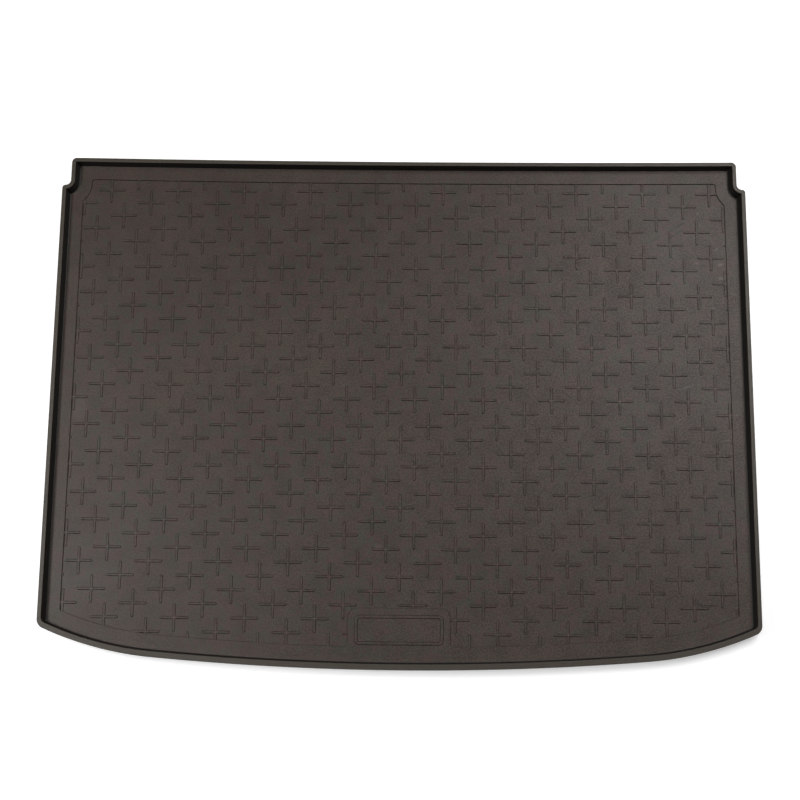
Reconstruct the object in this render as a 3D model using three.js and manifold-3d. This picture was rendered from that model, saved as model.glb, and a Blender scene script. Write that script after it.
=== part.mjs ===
// Car boot liner: one moulded rubber tray with a low lip all round, a recessed floor
// patterned with small cross ribs, and a framed bare plate at the loading edge.
// Millimetres. +X is the car's width, +Y points from the loading edge to the seats, +Z is up.
// The origin is the middle of the underside.

import * as THREE from "three";
import { ConvexGeometry } from "three/addons/geometries/ConvexGeometry.js";
import { mergeVertices } from "three/addons/utils/BufferGeometryUtils.js";
import Module from "manifold-3d";

// Whole tray
const overallWidth = 1023;
const overallDepth = 756;
const overallHeight = 20;

// Rim outline seen from above
const backBow = 3;
const backCornerRadius = 7;
const notchHollowRadius = 8;
const notchTipRadius = 4.5;
const notchDepth = 43;
const frontCornerRadius = 14;
const frontMiddleRadius = 4100;
const frontSideRadius = 480;
const frontMiddleSpan = 704;

// Section of the floor and the lip
const marginThickness = 4.5;
const recessDepth = 2;
const recessDraft = 0.4;
const undersideChamfer = 1;
const lipWidth = 6;
const frontLipWidth = 8;
const lipEdgeRadius = 0.8;
const sideWallLean = 3;
const backWallLean = 1;
const frontWallLean = 1.4;
const sideWallFoot = 2.6;
const backWallFoot = 1;
const frontWallFoot = 1.6;

// Smooth margin between the rim and the recessed floor
const sideMargin = 28.5;
const frontMargin = 32;
const fieldCornerRadius = 4;

// Cross ribs on a skewed square grid: in each row a cross stands on every fifth square
const gridPitch = 20;
const crossSpacing = 5;
const rowShift = 3;
const crossLength = 40;
const ribRootWidth = 5;
const ribTopGap = 0.8;
const firstRowInset = 16.3;
const firstRowShift = -2;

// Island at the loading edge, with the frame of the plate on it
const islandWidth = 145;
const islandDepth = 55;
const islandCornerRadius = 12.5;
const islandFootRadius = 6.5;
const plateWidth = 126;
const plateDepth = 41.5;
const plateCornerRadius = 7;
const plateFrameWidth = 4;
const plateFrameHeight = 1;
const plateInset = 10;

// Small pad near the right end of the loading edge
const padLength = 29;
const padWidth = 9;
const padFromSide = 72;
const padFromFront = 99.5;

// Fineness of the round stretches, in segments
const cornerSegments = 4;
const sweepSegments = 6;

// How far a piece reaches into or past what it joins or cuts
const overlap = 1;

const halfWidth = overallWidth / 2;
const backY = overallDepth / 2;
const frontY = -overallDepth / 2;
const notchWidth = notchHollowRadius + notchTipRadius;
const floorZ = marginThickness - recessDepth;
const smallestRadius = 0.6;

const rubber = new THREE.MeshStandardMaterial({
  color: 0x4a4440,
  roughness: 0.85,
  metalness: 0,
});

const wasm = await Module();
wasm.setup();

// Joining and cutting

function solidOf(geometry) {
  const bare = geometry.clone();
  bare.deleteAttribute("normal");
  bare.deleteAttribute("uv");
  const merged = mergeVertices(bare, 1e-4);
  return new wasm.Manifold(
    new wasm.Mesh({
      numProp: 3,
      vertProperties: new Float32Array(merged.attributes.position.array),
      triVerts: new Uint32Array(merged.index.array),
    }),
  );
}

function geometryOf(solid) {
  const mesh = solid.getMesh();
  const geometry = new THREE.BufferGeometry();
  geometry.setAttribute("position", new THREE.BufferAttribute(mesh.vertProperties, 3));
  geometry.setIndex(new THREE.BufferAttribute(mesh.triVerts, 1));
  return geometry;
}

// Points along a circular arc, from one angle to the other the short way
function arc(centreX, centreY, radius, from, to, segments) {
  const turn = Math.atan2(Math.sin(to - from), Math.cos(to - from));
  const curve = new THREE.EllipseCurve(
    centreX, centreY, radius, radius, from, from + turn, turn < 0,
  );
  return curve.getPoints(segments);
}

function mirrored(points) {
  return points.map((p) => new THREE.Vector2(-p.x, p.y)).reverse();
}

// A closed solid skinned over rings with equal numbers of points, capped at both ends
function skin(rings) {
  const count = rings[0].points.length;
  const positions = [];
  for (const ring of rings) {
    for (const p of ring.points) positions.push(p.x, p.y, ring.z);
  }
  const index = [];
  for (let level = 0; level + 1 < rings.length; level += 1) {
    for (let i = 0; i < count; i += 1) {
      const a = level * count + i;
      const b = level * count + ((i + 1) % count);
      index.push(a, b, b + count, a, b + count, a + count);
    }
  }
  const last = (rings.length - 1) * count;
  for (const [a, b, c] of THREE.ShapeUtils.triangulateShape(rings[0].points, [])) {
    index.push(a, c, b);
  }
  for (const [a, b, c] of THREE.ShapeUtils.triangulateShape(rings.at(-1).points, [])) {
    index.push(last + a, last + b, last + c);
  }
  const geometry = new THREE.BufferGeometry();
  geometry.setAttribute("position", new THREE.Float32BufferAttribute(positions, 3));
  geometry.setIndex(index);
  return geometry;
}

// The front edge is one wide flat arc that tightens to a smaller arc at each end
function frontArcs(inset) {
  const middleAngle = Math.asin(frontMiddleSpan / 2 / frontMiddleRadius);
  const reach = frontMiddleRadius - frontSideRadius;
  const middle = { x: 0, y: frontY + frontMiddleRadius, radius: frontMiddleRadius - inset };
  const side = {
    x: reach * Math.sin(middleAngle),
    y: middle.y - reach * Math.cos(middleAngle),
    radius: frontSideRadius - inset,
  };
  return { middle, side, joinAngle: middleAngle - Math.PI / 2 };
}

function frontMiddlePoints(inset) {
  const { middle, joinAngle } = frontArcs(inset);
  return arc(middle.x, middle.y, middle.radius, -Math.PI / 2, joinAngle, sweepSegments);
}

// Right half of the rim outline, from the middle of the front to the middle of the back
function rimHalf(inset) {
  const { side, joinAngle } = frontArcs(inset.front);
  const sideX = halfWidth - inset.side;
  const cornerRadius = Math.max(frontCornerRadius - inset.side, smallestRadius);
  const cornerX = sideX - cornerRadius;
  const cornerReach = side.radius - cornerRadius;
  const cornerY = side.y - Math.sqrt(cornerReach ** 2 - (cornerX - side.x) ** 2);
  const cornerStart = Math.atan2(cornerY - side.y, cornerX - side.x);

  const hollowX = halfWidth - notchTipRadius;
  const hollowY = backY - notchDepth + notchHollowRadius;
  const hollowRadius = notchHollowRadius + inset.side;
  const tipRadius = Math.max(notchTipRadius - inset.side, smallestRadius);
  const tipX = sideX - tipRadius;
  const tipY = hollowY - Math.sqrt((hollowRadius + tipRadius) ** 2 - (tipX - hollowX) ** 2);
  const tipAngle = Math.atan2(tipY - hollowY, tipX - hollowX);

  const backX = halfWidth - notchWidth - inset.side;
  const backEdgeY = backY - inset.back;
  const backRadius = Math.max(backCornerRadius - inset.side, smallestRadius);

  return [
    ...frontMiddlePoints(inset.front),
    ...arc(side.x, side.y, side.radius, joinAngle, cornerStart, sweepSegments).slice(1),
    ...arc(cornerX, cornerY, cornerRadius, cornerStart, 0, cornerSegments).slice(1),
    ...arc(tipX, tipY, tipRadius, 0, tipAngle + Math.PI, cornerSegments),
    ...arc(hollowX, hollowY, hollowRadius, tipAngle, -Math.PI, cornerSegments).slice(1),
    ...arc(backX - backRadius, backEdgeY - backRadius, backRadius, 0, Math.PI / 2, cornerSegments),
    ...backPoints(backX - backRadius, backEdgeY).slice(1),
  ];
}

// The back edge sags towards the loading edge by its bow, as one very flat arc
function backPoints(endX, edgeY) {
  const radius = (endX ** 2 + backBow ** 2) / (2 * backBow);
  const from = -Math.PI / 2 + Math.asin(endX / radius);
  return arc(0, edgeY - backBow + radius, radius, from, -Math.PI / 2, sweepSegments);
}

function closedOutline(half) {
  return [...half, ...mirrored(half).slice(1, -1)];
}

function rim(inset) {
  return closedOutline(rimHalf(inset));
}

function evenInset(amount) {
  return { side: amount, back: amount, front: amount };
}

// Inset of the lip's inner edge, less the given amount
function lipInset(less) {
  return { side: lipWidth - less, back: lipWidth - less, front: frontLipWidth - less };
}

// The tray before its floor is recessed: underside, outer wall, rounded lip, inner wall, margin
function trayBlank() {
  const lipBend = lipEdgeRadius * (1 - Math.SQRT1_2);
  const innerFoot = {
    side: lipWidth + sideWallLean,
    back: lipWidth + backWallLean,
    front: frontLipWidth + frontWallLean,
  };
  const margin = {
    side: innerFoot.side + sideWallFoot,
    back: innerFoot.back + backWallFoot,
    front: innerFoot.front + frontWallFoot,
  };
  return skin([
    { points: rim(evenInset(undersideChamfer)), z: 0 },
    { points: rim(evenInset(0)), z: undersideChamfer },
    { points: rim(evenInset(0)), z: overallHeight - lipEdgeRadius },
    { points: rim(evenInset(lipBend)), z: overallHeight - lipBend },
    { points: rim(evenInset(lipEdgeRadius)), z: overallHeight },
    { points: rim(lipInset(lipEdgeRadius)), z: overallHeight },
    { points: rim(lipInset(0)), z: overallHeight - lipEdgeRadius },
    { points: rim(innerFoot), z: marginThickness + sideWallFoot },
    { points: rim(margin), z: marginThickness },
  ]);
}

// Outline of the recessed floor: it follows the rim at the margin's width
function fieldOutline(inset) {
  const front = frontMargin + inset;
  const { side, joinAngle } = frontArcs(front);
  const sideX = halfWidth - sideMargin - inset;
  const sideEnd = -Math.acos((sideX - side.x) / side.radius);

  const hollowX = halfWidth - notchTipRadius;
  const hollowY = backY - notchDepth + notchHollowRadius;
  const hollowRadius = notchHollowRadius + sideMargin + inset;
  const hollowStart = -Math.acos((sideX - hollowX) / hollowRadius);

  const backX = halfWidth - notchWidth - sideMargin - inset;
  const backEdgeY = backY - sideMargin - inset;
  const radius = fieldCornerRadius;

  return closedOutline([
    ...frontMiddlePoints(front),
    ...arc(side.x, side.y, side.radius, joinAngle, sideEnd, sweepSegments).slice(1),
    ...arc(hollowX, hollowY, hollowRadius, hollowStart, -Math.PI, cornerSegments),
    ...arc(backX - radius, backEdgeY - radius, radius, 0, Math.PI / 2, cornerSegments),
    ...backPoints(backX - radius, backEdgeY).slice(1),
  ]);
}

function fieldFrontY() {
  return frontY + frontMargin;
}

// Island outline: rounded back corners, and hollow feet that run out into the front margin
function islandOutline(inset) {
  const x = islandWidth / 2 + inset;
  const top = fieldFrontY() + islandDepth + inset;
  const foot = fieldFrontY() + islandFootRadius;
  const r = islandCornerRadius;
  const half = [
    new THREE.Vector2(x + islandFootRadius, frontY + frontMargin / 2),
    new THREE.Vector2(x + islandFootRadius, fieldFrontY()),
    ...arc(x + islandFootRadius, foot, islandFootRadius, -Math.PI / 2, -Math.PI, cornerSegments),
    ...arc(x - r, top - r, r, 0, Math.PI / 2, cornerSegments),
  ];
  return [...half, ...mirrored(half)];
}

function recess() {
  const field = skin([
    { points: fieldOutline(recessDraft), z: floorZ },
    { points: fieldOutline(0), z: marginThickness },
    { points: fieldOutline(0), z: marginThickness + overlap },
  ]);
  const island = skin([
    { points: islandOutline(recessDraft), z: floorZ - overlap },
    { points: islandOutline(0), z: marginThickness },
    { points: islandOutline(0), z: marginThickness + 2 * overlap },
  ]);
  return solidOf(field).subtract(solidOf(island));
}

// One rib of a cross: level along its ridge, and widest where the two ribs meet
function rib(along) {
  const half = crossLength / 2;
  const root = ribRootWidth / 2;
  const top = recessDepth - ribTopGap;
  const points = [];
  for (const end of [-1, 1]) {
    points.push([end * half, 0, top], [end * half, 0, -overlap]);
    for (const side of [-1, 1]) {
      points.push([end * root, side * root, 0], [end * root, side * root, -overlap]);
    }
  }
  const placed = points.map(([x, y, z]) => (along === "x" ? [x, y, z] : [y, x, z]));
  return new ConvexGeometry(placed.map((p) => new THREE.Vector3(...p)));
}

// Every cross whose arms reach the recessed floor. Each row stands one grid square nearer
// to the loading edge, and its crosses are shifted three squares against the row before.
function crosses() {
  const ribs = [rib("x"), rib("y")];
  const firstRowY = backY - sideMargin - firstRowInset;
  const rowsAhead = Math.ceil(crossLength / 2 / gridPitch);
  const rows = Math.ceil((firstRowY - fieldFrontY()) / gridPitch) + rowsAhead;
  const columns = Math.floor((halfWidth - sideMargin + crossLength / 2) / gridPitch);
  const placed = [];
  for (let row = -rowsAhead; row < rows; row += 1) {
    for (let column = -columns; column <= columns; column += 1) {
      const shift = column - firstRowShift - rowShift * row;
      if (shift % crossSpacing === 0) {
        const x = column * gridPitch;
        const y = firstRowY - row * gridPitch;
        for (const one of ribs) placed.push(solidOf(one.clone().translate(x, y, floorZ)));
      }
    }
  }
  const reach = skin([
    { points: fieldOutline(-overlap), z: 0 },
    { points: fieldOutline(-overlap), z: marginThickness },
  ]);
  return wasm.Manifold.union(placed).intersect(solidOf(reach));
}

function roundedBox(width, depth, radius, height) {
  const x = width / 2 - radius;
  const y = depth / 2 - radius;
  const shape = new THREE.Shape([
    ...arc(x, -y, radius, -Math.PI / 2, 0, cornerSegments),
    ...arc(x, y, radius, 0, Math.PI / 2, cornerSegments),
    ...arc(-x, y, radius, Math.PI / 2, Math.PI, cornerSegments),
    ...arc(-x, -y, radius, -Math.PI, -Math.PI / 2, cornerSegments),
  ]);
  return new THREE.ExtrudeGeometry(shape, { depth: height, bevelEnabled: false });
}

// Raised frame round the bare plate
function plateFrame() {
  const innerWidth = plateWidth - 2 * plateFrameWidth;
  const innerDepth = plateDepth - 2 * plateFrameWidth;
  const innerRadius = Math.max(plateCornerRadius - plateFrameWidth, smallestRadius);
  const height = plateFrameHeight + overlap;
  const outer = roundedBox(plateWidth, plateDepth, plateCornerRadius, height);
  const inner = roundedBox(innerWidth, innerDepth, innerRadius, height + 2 * overlap);
  const centreY = fieldFrontY() + islandDepth - plateInset - plateDepth / 2;
  outer.translate(0, centreY, marginThickness - overlap);
  inner.translate(0, centreY, marginThickness - 2 * overlap);
  return solidOf(outer).subtract(solidOf(inner));
}

function pad() {
  const height = recessDepth - ribTopGap + overlap;
  const box = roundedBox(padLength, padWidth, padWidth / 2 - smallestRadius, height);
  box.translate(halfWidth - padFromSide, frontY + padFromFront, floorZ - overlap);
  return solidOf(box);
}

function bootLiner() {
  const tray = solidOf(trayBlank()).subtract(recess());
  const solid = tray.add(crosses()).add(plateFrame()).add(pad());
  const mesh = new THREE.Mesh(geometryOf(solid), rubber);
  mesh.name = "boot_liner";
  return mesh;
}

const root = new THREE.Group();
root.add(bootLiner());

export default root;
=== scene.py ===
import math

import bmesh
import bpy
from mathutils import Euler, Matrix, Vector


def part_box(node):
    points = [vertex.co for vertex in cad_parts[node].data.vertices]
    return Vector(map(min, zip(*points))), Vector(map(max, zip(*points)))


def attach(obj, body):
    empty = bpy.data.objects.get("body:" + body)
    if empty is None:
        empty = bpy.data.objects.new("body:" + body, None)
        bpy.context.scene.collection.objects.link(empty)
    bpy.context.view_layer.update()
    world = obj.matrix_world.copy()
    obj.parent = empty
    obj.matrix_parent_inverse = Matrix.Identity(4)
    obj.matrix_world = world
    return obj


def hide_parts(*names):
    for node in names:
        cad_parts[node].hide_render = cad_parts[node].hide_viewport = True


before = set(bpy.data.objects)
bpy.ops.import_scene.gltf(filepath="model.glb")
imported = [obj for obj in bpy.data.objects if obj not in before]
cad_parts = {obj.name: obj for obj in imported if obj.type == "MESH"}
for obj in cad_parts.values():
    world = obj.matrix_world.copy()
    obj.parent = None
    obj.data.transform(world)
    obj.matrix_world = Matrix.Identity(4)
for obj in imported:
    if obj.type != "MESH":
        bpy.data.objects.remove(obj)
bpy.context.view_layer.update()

# Sizes, in metres
MM = 0.001

low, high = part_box("boot_liner")
HALF_WIDTH = (high.x - low.x) / 2
BACK_Y = high.y
FRONT_Y = low.y
HEIGHT = high.z - low.z

# Rim outline seen from above
BACK_BOW = 3 * MM
BACK_CORNER_RADIUS = 7 * MM
NOTCH_HOLLOW_RADIUS = 8 * MM
NOTCH_TIP_RADIUS = 4.5 * MM
NOTCH_DEPTH = 43 * MM
FRONT_CORNER_RADIUS = 14 * MM
FRONT_MIDDLE_RADIUS = 4100 * MM
FRONT_SIDE_RADIUS = 480 * MM
FRONT_MIDDLE_SPAN = 704 * MM
NOTCH_WIDTH = NOTCH_HOLLOW_RADIUS + NOTCH_TIP_RADIUS
SMALLEST_RADIUS = 0.6 * MM

# Section of the floor and the lip
MARGIN_Z = 4.5 * MM
FLOOR_Z = 2.5 * MM
UNDERSIDE_RADIUS = 1 * MM
LIP_WIDTH = {"side": 6 * MM, "back": 6 * MM, "front": 8 * MM}
LIP_OUTER_RADIUS = 0.5 * MM
LIP_INNER_RADIUS = 0.8 * MM
WALL_LEAN = {"side": 3 * MM, "back": 1 * MM, "front": 1.4 * MM}
WALL_FOOT = {"side": 2.6 * MM, "back": 1.2 * MM, "front": 2.4 * MM}
WALL_FOOT_HEIGHT = 2.2 * MM

# Recessed floor
SIDE_MARGIN = 28.5 * MM
FRONT_MARGIN = 32 * MM
FIELD_CORNER_RADIUS = 4 * MM
STEP_DRAFT = 0.3 * MM
STEP_EDGE_RADIUS = 0.2 * MM
STEP_FOOT_RADIUS = 0.2 * MM

# Cross ribs: the spacing and the shifts count squares of the grid
GRID_PITCH = 20 * MM
CROSS_SPACING = 5
ROW_SHIFT = 3
FIRST_ROW_SHIFT = -2
FIRST_ROW_INSET = 16.3 * MM
RIB_HALF_LENGTH = 20 * MM
RIB_HALF_WIDTH = 1.8 * MM
RIB_HEIGHT = 1.1 * MM
RIB_INNER_RADIUS = 0.8 * MM
RIB_DRAFT = 0.3 * MM
RIB_EDGE_RADIUS = 0.4 * MM
RIB_FOOT_RADIUS = 0.2 * MM

# Foot and edge of a rib: growth and height, in shares of the foot's or the edge's radius
RIB_FOOT_PROFILE = ((1.5, -1), (0.8, 0.2), (0, 1))
RIB_EDGE_PROFILE = ((0, -1), (-0.134, -0.5), (-0.5, -0.134), (-1, 0))

# The middle of every other eased edge lies this share of its radius from both faces
EASED_MIDDLE = 0.3

# Island with the bare framed plate
ISLAND_HALF_WIDTH = 72.5 * MM
ISLAND_DEPTH = 55 * MM
ISLAND_CORNER_RADIUS = 12.5 * MM
ISLAND_FOOT_RADIUS = 6.5 * MM
PLATE_WIDTH = 126 * MM
PLATE_DEPTH = 41.5 * MM
PLATE_CORNER_RADIUS = 7 * MM
PLATE_FRAME_WIDTH = 4 * MM
PLATE_FRAME_HEIGHT = 1 * MM
PLATE_INSET = 10 * MM
PLATE_DRAFT = 0.5 * MM
PLATE_EDGE_RADIUS = 0.3 * MM

# Small pad near the right end of the loading edge
PAD_LENGTH = 29 * MM
PAD_WIDTH = 9 * MM
PAD_FROM_SIDE = 72 * MM
PAD_FROM_FRONT = 99.5 * MM

# Marks of use: place, length and width in millimetres, turn in degrees, and strength
LIGHT_MARKS = (
    (469, 247, 12, 3, 40, 0.6),
    (474, 223, 11, 7, 10, 0.5),
    (475, 202, 15, 7, 0, 0.55),
    (476, 169, 4, 14, 0, 0.4),
    (461, 156, 7, 5, 0, 0.4),
    (443, 304, 5, 4, 0, 0.4),
    (437, 264, 4, 3, 0, 0.4),
    (474, -44, 13, 2, 12, 0.5),
    (491, -6, 9, 2, 12, 0.6),
    (470, -67, 4, 3, 0, 0.9),
    (479, -62, 3, 3, 0, 0.8),
    (419, 35, 36, 1.6, 16, 0.5),
    (407, -14, 22, 1.4, 40, 0.4),
    (404, -7, 4, 3, 30, 0.7),
    (442, 302, 5, 5, 0, 0.35),
    (298, 210, 14, 90, 0, 0.07),
    (438, 225, 10, 5, 0, 0.3),
    (-30, -203, 16, 14, 0, 0.2),
    (-470, 0, 26, 60, 0, 0.15),
)
DARK_MARKS = (
    (462, 280, 22, 5, 0, 0.5),
    (405, 268, 60, 5, 35, 0.85),
    (415, 284, 44, 6, 34, 0.8),
    (448, 221, 16, 9, 5, 0.5),
    (453, 261, 12, 5, 0, 0.45),
    (470, 112, 16, 10, 0, 0.45),
    (470, 67, 18, 12, 10, 0.45),
    (374, -15, 13, 20, 0, 0.4),
    (353, -24, 12, 5, 0, 0.4),
    (417, 292, 26, 6, 38, 0.55),
    (378, 262, 30, 5, 36, 0.5),
    (401, 276, 24, 5, 38, 0.55),
    (466, 296, 18, 5, 0, 0.5),
    (455, 252, 16, 5, 15, 0.5),
    (-506, -143, 14, 34, 20, 0.3),
    (-462, -172, 20, 16, 0, 0.2),
    (-470, -235, 26, 50, 0, 0.18),
    (-448, -258, 22, 16, 0, 0.22),
    (-440, -80, 14, 90, 0, 0.14),
    (382, 95, 8, 50, 2, 0.2),
    (372, 15, 34, 26, 0, 0.2),
    (327, 104, 10, 40, 0, 0.12),
    (500, 235, 18, 130, -3, 0.22),
    (1, -75, 40, 2.5, -30, 0.35),
    (157, -122, 14, 2, -48, 0.4),
    (300, -130, 80, 60, 0, 0.1),
    (60, 60, 110, 80, 0, 0.08),
)

# Wide areas of painted sheen, lighter towards the right, and of painted shade, darker at the back and
# the back left, listed in the same way
PAINTED_SHEEN_AREAS = (
    (360, 70, 760, 620, 0, 0.075),
)
PAINTED_SHADE_AREAS = (
    (-140, 330, 1000, 420, 0, 0.15),
    (-330, 260, 500, 380, 0, 0.15),
)

# Fineness, in segments
CORNER_SEGMENTS = 8
SWEEP_SEGMENTS = 28
EDGE_SEGMENTS = 4
RIB_END_SEGMENTS = 5
RIB_INNER_SEGMENTS = 2

# How far a cutter or a buried foot reaches past the surface that it meets
REACH = 1 * MM

# A half circle is this angle short, in radians, so that its short way round is the one meant
HALF_TURN_GAP = 1e-6

# Faces that meet at less than this angle are shaded as one smooth surface
SMOOTH_ANGLE = math.radians(50)


# Outlines

def arc(centre_x, centre_y, radius, start, end, segments):
    """Points along a circular arc, the short way from one angle to the other."""
    turn = math.atan2(math.sin(end - start), math.cos(end - start))
    points = []
    for step in range(segments + 1):
        angle = start + turn * step / segments
        points.append((centre_x + radius * math.cos(angle), centre_y + radius * math.sin(angle)))
    return points


def mirrored(points):
    return [(-x, y) for x, y in reversed(points)]


def front_arcs(inset):
    """The front edge: one wide flat arc that tightens to a smaller arc at each end."""
    middle_angle = math.asin(FRONT_MIDDLE_SPAN / 2 / FRONT_MIDDLE_RADIUS)
    reach = FRONT_MIDDLE_RADIUS - FRONT_SIDE_RADIUS
    middle_y = FRONT_Y + FRONT_MIDDLE_RADIUS
    middle = (0, middle_y, FRONT_MIDDLE_RADIUS - inset)
    side = (
        reach * math.sin(middle_angle),
        middle_y - reach * math.cos(middle_angle),
        FRONT_SIDE_RADIUS - inset,
    )
    return middle, side, middle_angle - math.pi / 2


def front_middle_points(inset):
    middle, _, join = front_arcs(inset)
    return arc(*middle, -math.pi / 2, join, SWEEP_SEGMENTS)


def back_points(end_x, edge_y):
    """The back edge sags towards the loading edge by its bow."""
    radius = (end_x ** 2 + BACK_BOW ** 2) / (2 * BACK_BOW)
    start = -math.pi / 2 + math.asin(end_x / radius)
    return arc(0, edge_y - BACK_BOW + radius, radius, start, -math.pi / 2, SWEEP_SEGMENTS)


def rim_half(inset):
    """Right half of the rim, from the middle of the front to the middle of the back."""
    _, (side_cx, side_cy, side_radius), join = front_arcs(inset["front"])
    side_x = HALF_WIDTH - inset["side"]
    corner_radius = max(FRONT_CORNER_RADIUS - inset["side"], SMALLEST_RADIUS)
    corner_x = side_x - corner_radius
    corner_reach = side_radius - corner_radius
    corner_y = side_cy - math.sqrt(corner_reach ** 2 - (corner_x - side_cx) ** 2)
    corner_start = math.atan2(corner_y - side_cy, corner_x - side_cx)

    hollow_x = HALF_WIDTH - NOTCH_TIP_RADIUS
    hollow_y = BACK_Y - NOTCH_DEPTH + NOTCH_HOLLOW_RADIUS
    hollow_radius = NOTCH_HOLLOW_RADIUS + inset["side"]
    tip_radius = max(NOTCH_TIP_RADIUS - inset["side"], SMALLEST_RADIUS)
    tip_x = side_x - tip_radius
    tip_y = hollow_y - math.sqrt((hollow_radius + tip_radius) ** 2 - (tip_x - hollow_x) ** 2)
    tip_angle = math.atan2(tip_y - hollow_y, tip_x - hollow_x)

    back_x = HALF_WIDTH - NOTCH_WIDTH - inset["side"]
    back_y = BACK_Y - inset["back"]
    back_radius = max(BACK_CORNER_RADIUS - inset["side"], SMALLEST_RADIUS)
    back_centre = (back_x - back_radius, back_y - back_radius)

    n = CORNER_SEGMENTS
    return [
        *front_middle_points(inset["front"]),
        *arc(side_cx, side_cy, side_radius, join, corner_start, SWEEP_SEGMENTS)[1:],
        *arc(corner_x, corner_y, corner_radius, corner_start, 0, n)[1:],
        *arc(tip_x, tip_y, tip_radius, 0, tip_angle + math.pi, n),
        *arc(hollow_x, hollow_y, hollow_radius, tip_angle, -math.pi, n)[1:],
        *arc(*back_centre, back_radius, 0, math.pi / 2, n),
        *back_points(back_centre[0], back_y)[1:],
    ]


def rim(inset):
    half = rim_half(inset)
    return half + mirrored(half)[1:-1]


def even(amount):
    return {"side": amount, "back": amount, "front": amount}


def lip_inset(less):
    """Inset of the lip's inner edge, less the given amount."""
    return {edge: width - less for edge, width in LIP_WIDTH.items()}


def field_outline(inset):
    """Outline of the recessed floor: it follows the rim at the margin's width."""
    front = FRONT_MARGIN + inset
    _, (side_cx, side_cy, side_radius), join = front_arcs(front)
    side_x = HALF_WIDTH - SIDE_MARGIN - inset
    side_end = -math.acos((side_x - side_cx) / side_radius)

    hollow_x = HALF_WIDTH - NOTCH_TIP_RADIUS
    hollow_y = BACK_Y - NOTCH_DEPTH + NOTCH_HOLLOW_RADIUS
    hollow_radius = NOTCH_HOLLOW_RADIUS + SIDE_MARGIN + inset
    hollow_start = -math.acos((side_x - hollow_x) / hollow_radius)

    back_x = HALF_WIDTH - NOTCH_WIDTH - SIDE_MARGIN - inset
    back_y = BACK_Y - SIDE_MARGIN - inset
    radius = FIELD_CORNER_RADIUS
    n = CORNER_SEGMENTS
    half = [
        *front_middle_points(front),
        *arc(side_cx, side_cy, side_radius, join, side_end, SWEEP_SEGMENTS)[1:],
        *arc(hollow_x, hollow_y, hollow_radius, hollow_start, -math.pi, n),
        *arc(back_x - radius, back_y - radius, radius, 0, math.pi / 2, n),
        *back_points(back_x - radius, back_y)[1:],
    ]
    return half + mirrored(half)[1:-1]


def field_front_y():
    return FRONT_Y + FRONT_MARGIN


def island_outline(inset):
    """Rounded back corners, and hollow feet that run out into the front margin."""
    x = ISLAND_HALF_WIDTH + inset
    top = field_front_y() + ISLAND_DEPTH + inset
    foot = field_front_y() + ISLAND_FOOT_RADIUS
    r = ISLAND_CORNER_RADIUS
    n = CORNER_SEGMENTS
    foot_x = x + ISLAND_FOOT_RADIUS
    half = [
        (foot_x, FRONT_Y + FRONT_MARGIN / 2),
        (foot_x, field_front_y()),
        *arc(foot_x, foot, ISLAND_FOOT_RADIUS, -math.pi / 2, -math.pi, n),
        *arc(x - r, top - r, r, 0, math.pi / 2, n),
    ]
    return half + mirrored(half)


def rounded_rectangle(width, depth, radius, centre_x, centre_y):
    x = width / 2 - radius
    y = depth / 2 - radius
    n = CORNER_SEGMENTS
    quarter = math.pi / 2
    return [
        *arc(centre_x + x, centre_y - y, radius, -quarter, 0, n),
        *arc(centre_x + x, centre_y + y, radius, 0, quarter, n),
        *arc(centre_x - x, centre_y + y, radius, quarter, 2 * quarter, n),
        *arc(centre_x - x, centre_y - y, radius, -2 * quarter, -quarter, n),
    ]


def cross_outline(centre_x, centre_y, grow):
    """A cross with rounded arm ends and small hollow fillets where the arms meet."""
    half_width = RIB_HALF_WIDTH + grow
    end_x = RIB_HALF_LENGTH - RIB_HALF_WIDTH
    inner = RIB_HALF_WIDTH + RIB_INNER_RADIUS
    quarter = math.pi / 2
    arm = [
        *arc(end_x, 0, half_width, -quarter, quarter - HALF_TURN_GAP, RIB_END_SEGMENTS),
        *arc(inner, inner, inner - half_width, -quarter, -2 * quarter, RIB_INNER_SEGMENTS),
    ]
    points = []
    for turn in range(4):
        c = round(math.cos(turn * quarter))
        s = round(math.sin(turn * quarter))
        points += [(centre_x + c * x - s * y, centre_y + s * x + c * y) for x, y in arm]
    return points


# Solids

def add_skin(bm, rings):
    """Adds a closed skin over rings of (points, height) with equal numbers of points."""
    levels = []
    for points, z in rings:
        levels.append([bm.verts.new((x, y, z)) for x, y in points])
    for lower, upper in zip(levels, levels[1:]):
        for i in range(len(lower)):
            j = (i + 1) % len(lower)
            bm.faces.new((lower[i], lower[j], upper[j], upper[i]))
    bm.faces.new(list(reversed(levels[0])))
    bm.faces.new(levels[-1])


def solid(name, *skins):
    bm = bmesh.new()
    for rings in skins:
        add_skin(bm, rings)
    mesh = bpy.data.meshes.new(name)
    bm.to_mesh(mesh)
    bm.free()
    made = bpy.data.objects.new(name, mesh)
    bpy.context.scene.collection.objects.link(made)
    return made


def combine(target, tool, operation):
    """Joins, cuts or clips target with tool, which is used up."""
    modifier = target.modifiers.new("combine", "BOOLEAN")
    modifier.object = tool
    modifier.operation = operation
    modifier.solver = "MANIFOLD"
    evaluated = target.evaluated_get(bpy.context.evaluated_depsgraph_get())
    mesh = bpy.data.meshes.new_from_object(evaluated)
    target.modifiers.clear()
    old = target.data
    target.data = mesh
    bpy.data.meshes.remove(old)
    used = tool.data
    bpy.data.objects.remove(tool)
    bpy.data.meshes.remove(used)


def quarter_circle():
    """Points on a quarter circle of radius 1, each as its distances from the two faces it joins."""
    angles = [math.pi / 2 * step / EDGE_SEGMENTS for step in range(EDGE_SEGMENTS + 1)]
    return [(1 - math.cos(angle), 1 - math.sin(angle)) for angle in angles]


def rounded_edge(radius):
    """Insets and heights up a rounded edge of the lip, from its wall to its top."""
    return [(radius * inset, HEIGHT - radius * drop) for inset, drop in quarter_circle()]


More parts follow.
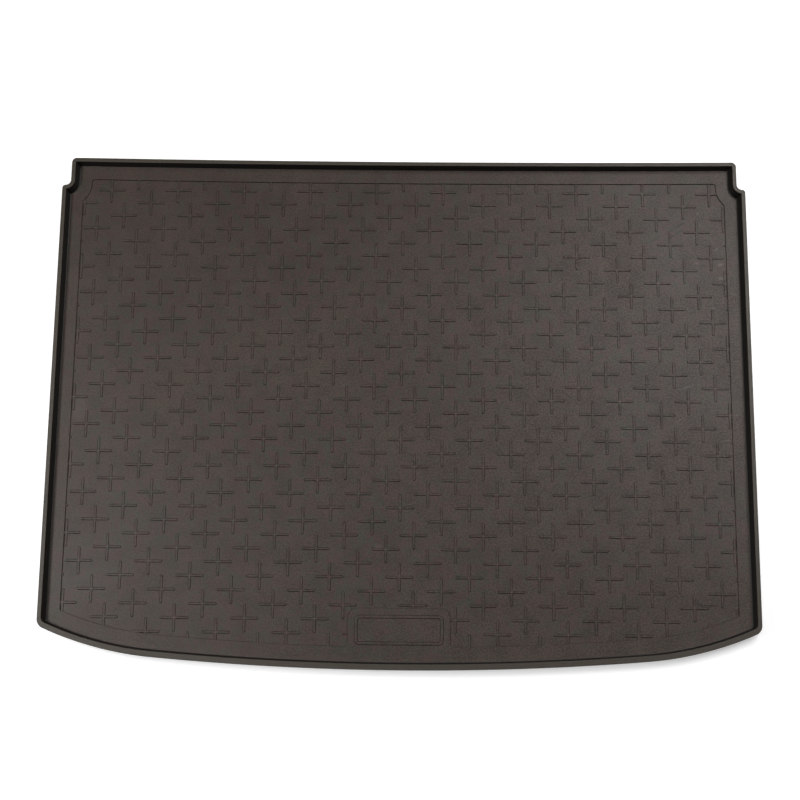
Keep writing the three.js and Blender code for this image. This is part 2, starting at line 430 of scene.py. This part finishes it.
def tray_rings():
    """Underside, outer wall, rounded lip, inner wall and its hollow foot, up to the margin."""
    rings = []
    for rise, inset in quarter_circle():
        rings.append((rim(even(UNDERSIDE_RADIUS * inset)), UNDERSIDE_RADIUS * rise))
    for inset, z in rounded_edge(LIP_OUTER_RADIUS):
        rings.append((rim(even(inset)), z))
    for inset, z in reversed(rounded_edge(LIP_INNER_RADIUS)):
        rings.append((rim(lip_inset(inset)), z))
    for reach, rise in quarter_circle():
        inset = {
            edge: LIP_WIDTH[edge] + WALL_LEAN[edge] + WALL_FOOT[edge] * reach
            for edge in WALL_LEAN
        }
        rings.append((rim(inset), MARGIN_Z + WALL_FOOT_HEIGHT * rise))
    return rings


def step_rings(outline):
    """A moulded step from the floor to the margin, eased at its foot and its edge.

    outline takes how far the step reaches out over the floor."""
    foot = STEP_FOOT_RADIUS
    edge = STEP_EDGE_RADIUS
    return [
        (outline(STEP_DRAFT + foot), FLOOR_Z),
        (outline(STEP_DRAFT + foot * EASED_MIDDLE), FLOOR_Z + foot * EASED_MIDDLE),
        (outline(STEP_DRAFT), FLOOR_Z + foot),
        (outline(0), MARGIN_Z - edge),
        (outline(-edge * EASED_MIDDLE), MARGIN_Z - edge * EASED_MIDDLE),
        (outline(-edge), MARGIN_Z),
    ]


def recess_cutter():
    """What the floor takes out of the tray: the field, without the island."""
    rings = step_rings(field_outline)
    rings.append((field_outline(-STEP_EDGE_RADIUS), MARGIN_Z + REACH))
    cutter = solid("recess", rings)
    rings = step_rings(island_outline)
    rings.insert(0, (rings[0][0], FLOOR_Z - REACH))
    rings.append((rings[-1][0], MARGIN_Z + 2 * REACH))
    combine(cutter, solid("island", rings), "DIFFERENCE")
    return cutter


def cross_rings(x, y):
    """One cross, from its foot buried in the floor to its rounded top edge."""
    top = FLOOR_Z + RIB_HEIGHT
    foot = RIB_FOOT_RADIUS
    edge = RIB_EDGE_RADIUS
    profile = [(foot * grow, FLOOR_Z + foot * rise) for grow, rise in RIB_FOOT_PROFILE]
    profile += [(edge * grow - RIB_DRAFT, top + edge * rise) for grow, rise in RIB_EDGE_PROFILE]
    return [(cross_outline(x, y, grow), z) for grow, z in profile]


def crosses():
    """In each row a cross stands on every fifth grid square, three squares on from the row before."""
    first_row_y = BACK_Y - SIDE_MARGIN - FIRST_ROW_INSET
    rows_ahead = math.ceil(RIB_HALF_LENGTH / GRID_PITCH)
    rows = math.ceil((first_row_y - field_front_y()) / GRID_PITCH) + rows_ahead
    columns = math.floor((HALF_WIDTH - SIDE_MARGIN + RIB_HALF_LENGTH) / GRID_PITCH)
    skins = []
    for row in range(-rows_ahead, rows):
        for column in range(-columns, columns + 1):
            if (column - FIRST_ROW_SHIFT - ROW_SHIFT * row) % CROSS_SPACING == 0:
                skins.append(cross_rings(column * GRID_PITCH, first_row_y - row * GRID_PITCH))
    ribs = solid("ribs", *skins)
    area = solid("rib_area", [(field_outline(-REACH), 0), (field_outline(-REACH), MARGIN_Z)])
    combine(ribs, area, "INTERSECT")
    return ribs


def raised_rings(outline, foot_z, top_z, draft, edge):
    """A raised form that tapers by its draft and ends in an eased edge. outline takes a growth."""
    return [
        (outline(draft), foot_z - REACH),
        (outline(draft), foot_z),
        (outline(0), top_z - edge),
        (outline(-edge * EASED_MIDDLE), top_z - edge * EASED_MIDDLE),
        (outline(-edge), top_z),
    ]


def plate_frame():
    """The raised frame of the plate, which is bare inside."""
    centre_y = field_front_y() + ISLAND_DEPTH - PLATE_INSET - PLATE_DEPTH / 2
    top_z = MARGIN_Z + PLATE_FRAME_HEIGHT

    def outer(grow):
        width = PLATE_WIDTH + 2 * grow
        depth = PLATE_DEPTH + 2 * grow
        return rounded_rectangle(width, depth, PLATE_CORNER_RADIUS + grow, 0, centre_y)

    def inner(grow):
        inset = PLATE_FRAME_WIDTH + grow
        radius = PLATE_CORNER_RADIUS - PLATE_FRAME_WIDTH - grow
        width = PLATE_WIDTH - 2 * inset
        depth = PLATE_DEPTH - 2 * inset
        return rounded_rectangle(width, depth, radius, 0, centre_y)

    body = solid("plate", raised_rings(outer, MARGIN_Z, top_z, PLATE_DRAFT, PLATE_EDGE_RADIUS))
    rings = raised_rings(inner, MARGIN_Z, top_z, PLATE_DRAFT, PLATE_EDGE_RADIUS)
    rings[0] = (rings[0][0], MARGIN_Z - 2 * REACH)
    rings.append((rings[-1][0], top_z + REACH))
    combine(body, solid("plate_hole", rings), "DIFFERENCE")
    return body


def pad():
    x = HALF_WIDTH - PAD_FROM_SIDE
    y = FRONT_Y + PAD_FROM_FRONT

    def outline(grow):
        width = PAD_WIDTH + 2 * grow
        length = PAD_LENGTH + 2 * grow
        return rounded_rectangle(length, width, width / 2 - SMALLEST_RADIUS, x, y)

    top = FLOOR_Z + RIB_HEIGHT
    return solid("pad", raised_rings(outline, FLOOR_Z, top, 0, RIB_EDGE_RADIUS))


def moulding():
    tray = solid("boot_liner_moulding", tray_rings())
    combine(tray, recess_cutter(), "DIFFERENCE")
    combine(tray, crosses(), "UNION")
    combine(tray, plate_frame(), "UNION")
    combine(tray, pad(), "UNION")
    tray.data.shade_smooth()
    tray.data.set_sharp_from_angle(angle=SMOOTH_ANGLE)
    weigh = tray.modifiers.new("even_shading", "WEIGHTED_NORMAL")
    weigh.mode = "FACE_AREA"
    weigh.keep_sharp = True
    return tray


# Materials

class Nodes:
    """Short calls for building a node material."""

    def __init__(self, material):
        material.use_nodes = True
        self.tree = material.node_tree
        self.tree.nodes.clear()

    def add(self, kind, inputs=None, **settings):
        node = self.tree.nodes.new(kind)
        for key, value in settings.items():
            setattr(node, key, value)
        for key, value in (inputs or {}).items():
            self.set(node.inputs[key], value)
        return node

    def set(self, socket, value):
        if isinstance(value, bpy.types.NodeSocket):
            self.tree.links.new(value, socket)
        else:
            socket.default_value = value

    def math(self, operation, *values):
        node = self.add("ShaderNodeMath", operation=operation)
        for socket, value in zip(node.inputs, values):
            self.set(socket, value)
        return node.outputs[0]

    def ramp(self, value, low, high, to_low=0.0, to_high=1.0):
        node = self.add("ShaderNodeMapRange", interpolation_type="SMOOTHSTEP")
        for key, v in zip(("Value", "From Min", "From Max", "To Min", "To Max"),
                          (value, low, high, to_low, to_high)):
            self.set(node.inputs[key], v)
        return node.outputs["Result"]

    def mix(self, factor, first, second):
        node = self.add("ShaderNodeMix", data_type="RGBA")
        self.set(node.inputs[0], factor)
        self.set(node.inputs[6], first)
        self.set(node.inputs[7], second)
        return node.outputs[2]

    def noise(self, vector, scale, detail, roughness):
        node = self.add(
            "ShaderNodeTexNoise",
            {"Vector": vector, "Scale": scale, "Detail": detail, "Roughness": roughness},
        )
        return node.outputs["Fac"]


def srgb(red, green, blue):
    """A colour as it shows on screen, 0 to 255, as the linear colour that a node takes."""
    channels = []
    for value in (red, green, blue):
        v = value / 255
        channels.append(v / 12.92 if v <= 0.04045 else ((v + 0.055) / 1.055) ** 2.4)
    return (*channels, 1.0)


# Colours of the rubber: its bloom, what lies on the bloom, and bare rubber that stands as painted
# shade
BLOOM = srgb(68, 56, 48)
BLOOM_GREENISH = srgb(50, 51, 39)
BLOOM_REDDISH = srgb(67, 43, 41)
SPECKED = srgb(35, 27, 21)
LIP_RUBBED = srgb(57, 51, 42)
# The pale and the dull colour serve the real marks of use and also the painted sheen and painted shade
# of the wide areas
PALE_MARK_AND_SHEEN = srgb(100, 94, 90)
DARK_MARK_AND_SHADE = srgb(22, 19, 17)
# Bare rubber as painted shade on the walls and the front and back flanks of the ribs, darker still on
# faces that turn to the front
BARE_RUBBER_PAINTED_SHADE = srgb(20, 17, 14)
PAINTED_SHADE_FACING_FRONT = srgb(7, 5, 4)

# Noises in the rubber, from coarse to fine: scale, detail and roughness
BROAD_NOISE = (7.0, 3.0, 0.55)
CLOUD_NOISE = (30.0, 3.0, 0.7)
TINT_NOISE = (44.0, 3.0, 0.9)
STREAK_NOISE = (160.0, 4.0, 0.7)
FLECK_NOISE = (200.0, 2.0, 0.9)
SPECK_NOISE = (420.0, 3.0, 0.7)
GRAIN_NOISE = (1100.0, 2.0, 0.6)

# Where in a noise each look begins, and where it is whole
BROAD_RANGE = (0.3, 0.7)
CLOUD_RANGE = (0.35, 0.65)
TINT_RANGE = (0.42, 0.58)
STREAK_RANGE = (0.3, 0.55)
SPECK_RANGE = (0.34, 0.66)

# The same for the way a face looks, for heights, for the place across and for the reach of a mark
# UPWARD, NEARLY_LEVEL and FRONTWARD place the painted shade on walls, fillets and rib flanks
UPWARD = (0.45, 0.97)
NEARLY_LEVEL = (0.95, 0.9995)
FRONTWARD = (-0.9, -0.4)
BELOW_MARGIN = (MARGIN_Z - 0.1 * MM, MARGIN_Z)
ABOVE_MARGIN = (MARGIN_Z + 0.02 * MM, MARGIN_Z + 0.1 * MM)
LIP_TOP = (HEIGHT - 1.5 * MM, HEIGHT - 0.4 * MM)
LEFT_TO_RIGHT = (-400 * MM, 300 * MM)
MARK_FADE = (0.2, 1.0)

# How strongly each look shows
# Painted light: share of bloom on the rib flanks that face left and right
PAINTED_LIGHT_ON_SIDE_FLANKS = 0.9
TINT_SHARE = 0.55
PLAIN_BLOOM = 0.75
SPECK_STRENGTH = 0.5
CLOUD_STRENGTH = 0.15
CONTRAST_LEFT_AND_RIGHT = (0.75, 1.15)
MIDDLE_SHADE = 0.43
LIP_RUBBING = 0.8
GRAIN_BUMP = {"Strength": 0.35, "Distance": 0.4 * MM}
SPECK_BUMP = {"Strength": 0.2, "Distance": 0.5 * MM}
ROUGHNESS = (0.5, 0.58)
SPECULAR = 0.38


def marks(n, place, listed):
    """How strongly the listed marks cover a place. Each is a soft oval, seen from above."""
    covered = 0.0
    for x, y, length, width, turn, strength in listed:
        local = n.add(
            "ShaderNodeMapping",
            {
                "Vector": place,
                "Location": (x * MM, y * MM, 0),
                "Rotation": (0, 0, math.radians(turn)),
                "Scale": (length / 2 * MM, width / 2 * MM, 1),
            },
            vector_type="TEXTURE",
        )
        reach = n.add("ShaderNodeVectorMath", {0: local.outputs["Vector"]}, operation="LENGTH")
        spot = n.ramp(reach.outputs["Value"], *MARK_FADE, strength, 0.0)
        covered = n.math("MAXIMUM", covered, spot)
    return covered


def rubber_material():
    """Dark rubber under a brown-grey bloom that is specked, marked by use and rubbed at the lip, with
    painted sheen and painted shade in wide areas, and bare rubber as painted shade on the walls and on
    the front and back flanks of the ribs.
    """
    material = bpy.data.materials.new("moulded_rubber")
    n = Nodes(material)
    place = n.add("ShaderNodeTexCoord").outputs["Object"]
    split = n.add("ShaderNodeSeparateXYZ", {"Vector": place})
    normal = n.add("ShaderNodeNewGeometry").outputs["Normal"]
    facing = n.add("ShaderNodeSeparateXYZ", {"Vector": normal})
    height = split.outputs["Z"]

    broad = n.noise(place, *BROAD_NOISE)
    cloud = n.noise(place, *CLOUD_NOISE)
    tint = n.noise(place, *TINT_NOISE)
    streak = n.noise(place, *STREAK_NOISE)
    fleck = n.noise(place, *FLECK_NOISE)
    speck = n.noise(place, *SPECK_NOISE)
    grain = n.noise(place, *GRAIN_NOISE)

    # The bloom's own colour, which turns a little to green and to red
    tint = n.math("MULTIPLY", tint, TINT_SHARE)
    turned = n.math("ADD", tint, n.math("MULTIPLY", fleck, 1 - TINT_SHARE))
    turned = n.mix(n.ramp(turned, *TINT_RANGE), BLOOM_GREENISH, BLOOM_REDDISH)
    film = n.mix(n.ramp(broad, *BROAD_RANGE, 0.0, PLAIN_BLOOM), turned, BLOOM)
    # Painted sheen over the right, and painted shade over the back and the back left
    film = n.mix(marks(n, place, PAINTED_SHEEN_AREAS), film, PALE_MARK_AND_SHEEN)
    film = n.mix(marks(n, place, PAINTED_SHADE_AREAS), film, DARK_MARK_AND_SHADE)

    # Specks, in soft clouds, which grow stronger from left to right
    speckle = n.ramp(speck, *SPECK_RANGE, -SPECK_STRENGTH, SPECK_STRENGTH)
    speckle = n.math("ADD", speckle, n.ramp(cloud, *CLOUD_RANGE, -CLOUD_STRENGTH, CLOUD_STRENGTH))
    contrast = n.ramp(split.outputs["X"], *LEFT_TO_RIGHT, *CONTRAST_LEFT_AND_RIGHT)
    speckle = n.math("MULTIPLY", speckle, contrast)
    film = n.mix(n.math("ADD", speckle, MIDDLE_SHADE), film, SPECKED)

    # The rubbed top of the lip, and the marks of use
    lip = n.ramp(height, *LIP_TOP)
    film = n.mix(n.math("MULTIPLY", lip, LIP_RUBBING), film, LIP_RUBBED)
    streaks = n.ramp(streak, *STREAK_RANGE)
    film = n.mix(n.math("MULTIPLY", marks(n, place, DARK_MARKS), streaks), film, DARK_MARK_AND_SHADE)
    film = n.mix(n.math("MULTIPLY", marks(n, place, LIGHT_MARKS), streaks), film, PALE_MARK_AND_SHEEN)

    # The bloom lies on what faces up. The rib flanks that face left and right get it too as painted
    # light, and the walls and the front and back flanks of the ribs keep bare rubber as painted shade
    below = n.ramp(height, *BELOW_MARGIN, PAINTED_LIGHT_ON_SIDE_FLANKS, 0.0)
    lit_side_flank = n.math("MULTIPLY", n.math("ABSOLUTE", facing.outputs["X"]), below)
    covered = n.math("MAXIMUM", n.ramp(facing.outputs["Z"], *UPWARD), lit_side_flank)
    # Walls above the margin, apart from the lip's top, get painted shade
    above = n.math("SUBTRACT", n.ramp(height, *ABOVE_MARGIN), lip)
    painted_wall_shade = n.math("MULTIPLY", above, n.ramp(facing.outputs["Z"], *NEARLY_LEVEL, 1.0, 0.0))
    covered = n.math("MULTIPLY", covered, n.math("SUBTRACT", 1.0, painted_wall_shade))
    # Painted shade: bare rubber, darker on faces that turn to the front
    painted_shade = n.mix(n.ramp(facing.outputs["Y"], *FRONTWARD), PAINTED_SHADE_FACING_FRONT, BARE_RUBBER_PAINTED_SHADE)

    rough = n.add("ShaderNodeBump", {"Height": grain, **GRAIN_BUMP}).outputs["Normal"]
    rough = n.add("ShaderNodeBump", {"Height": speck, "Normal": rough, **SPECK_BUMP}).outputs["Normal"]
    shader = n.add("ShaderNodeBsdfPrincipled", {
        "Base Color": n.mix(covered, painted_shade, film),
        "Roughness": n.ramp(broad, *BROAD_RANGE, *ROUGHNESS),
        "Specular IOR Level": SPECULAR,
        "Normal": rough,
    })
    out = n.add("ShaderNodeOutputMaterial")
    n.tree.links.new(shader.outputs["BSDF"], out.inputs["Surface"])
    return material


# Floor: its paleness, the glow that makes it white to the camera, and its half width in metres
FLOOR_COLOUR = (0.8, 0.8, 0.8, 1)
FLOOR_GLOW = 0.45
FLOOR_REACH = 6

WHITE = (1, 1, 1, 1)


def floor_material():
    """A plain pale floor that the camera sees as white, and that keeps the object's shadow."""
    material = bpy.data.materials.new("studio_floor")
    n = Nodes(material)
    paths = n.add("ShaderNodeLightPath")
    seen = n.math("MAXIMUM", paths.outputs["Is Camera Ray"], paths.outputs["Is Glossy Ray"])
    seen = n.math("MAXIMUM", seen, paths.outputs["Is Transmission Ray"])
    matt = n.add("ShaderNodeBsdfDiffuse", {"Color": FLOOR_COLOUR})
    strength = n.math("MULTIPLY", seen, FLOOR_GLOW)
    glow = n.add("ShaderNodeEmission", {"Color": WHITE, "Strength": strength})
    both = n.add("ShaderNodeAddShader")
    n.tree.links.new(matt.outputs[0], both.inputs[0])
    n.tree.links.new(glow.outputs[0], both.inputs[1])
    out = n.add("ShaderNodeOutputMaterial")
    n.tree.links.new(both.outputs[0], out.inputs["Surface"])
    return material


# Studio

# Softboxes: place, size front to back and size left to right in metres, and power in watts
SOFTBOXES = {
    "key_right": ((0.93, 0.58, 1.3), 1.2, 0.3, 19),
    "key_left": ((-1.12, -0.2, 1.3), 1.0, 0.3, 20),
    "overhead": ((0.0, 0.3, 2.9), 2.0, 2.0, 14.5),
}
WORLD_STRENGTH = 0.01

# Camera: high above the loading edge, tipped a little towards the seats
CAMERA_PLACE = (16.1 * MM, -466.3 * MM, 2204.8 * MM)
CAMERA_TURN = (12.2691, 0.3365, 0.5809)
LENS_MM = 69.249
SENSOR_WIDTH_MM = 36


def studio_floor():
    bm = bmesh.new()
    bmesh.ops.create_grid(bm, x_segments=1, y_segments=1, size=FLOOR_REACH)
    mesh = bpy.data.meshes.new("studio_floor")
    bm.to_mesh(mesh)
    bm.free()
    floor = bpy.data.objects.new("studio_floor", mesh)
    bpy.context.scene.collection.objects.link(floor)
    floor.data.materials.append(floor_material())


def softbox(name, place, width, depth, power):
    """An area light aimed at the middle of the liner."""
    data = bpy.data.lights.new(name, "AREA")
    data.shape = "RECTANGLE"
    data.size = width
    data.size_y = depth
    data.energy = power
    lamp = bpy.data.objects.new(name, data)
    lamp.location = place
    lamp.rotation_euler = (-Vector(place)).to_track_quat("-Z", "Y").to_euler()
    bpy.context.scene.collection.objects.link(lamp)


def studio_light():
    for name, settings in SOFTBOXES.items():
        softbox(name, *settings)
    world = bpy.data.worlds.new("studio")
    bpy.context.scene.world = world
    world.use_nodes = True
    background = world.node_tree.nodes["Background"]
    background.inputs["Color"].default_value = WHITE
    background.inputs["Strength"].default_value = WORLD_STRENGTH


def studio_camera():
    data = bpy.data.cameras.new("camera")
    data.lens = LENS_MM
    data.sensor_width = SENSOR_WIDTH_MM
    camera = bpy.data.objects.new("camera", data)
    camera.location = CAMERA_PLACE
    camera.rotation_euler = Euler([math.radians(a) for a in CAMERA_TURN], "XYZ")
    bpy.context.scene.collection.objects.link(camera)
    bpy.context.scene.camera = camera


# The scene

liner = moulding()
liner.data.materials.clear()
liner.data.materials.append(rubber_material())
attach(liner, "root")
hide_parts("boot_liner")

studio_floor()
studio_light()
studio_camera()
bpy.context.scene.view_settings.view_transform = "Standard"
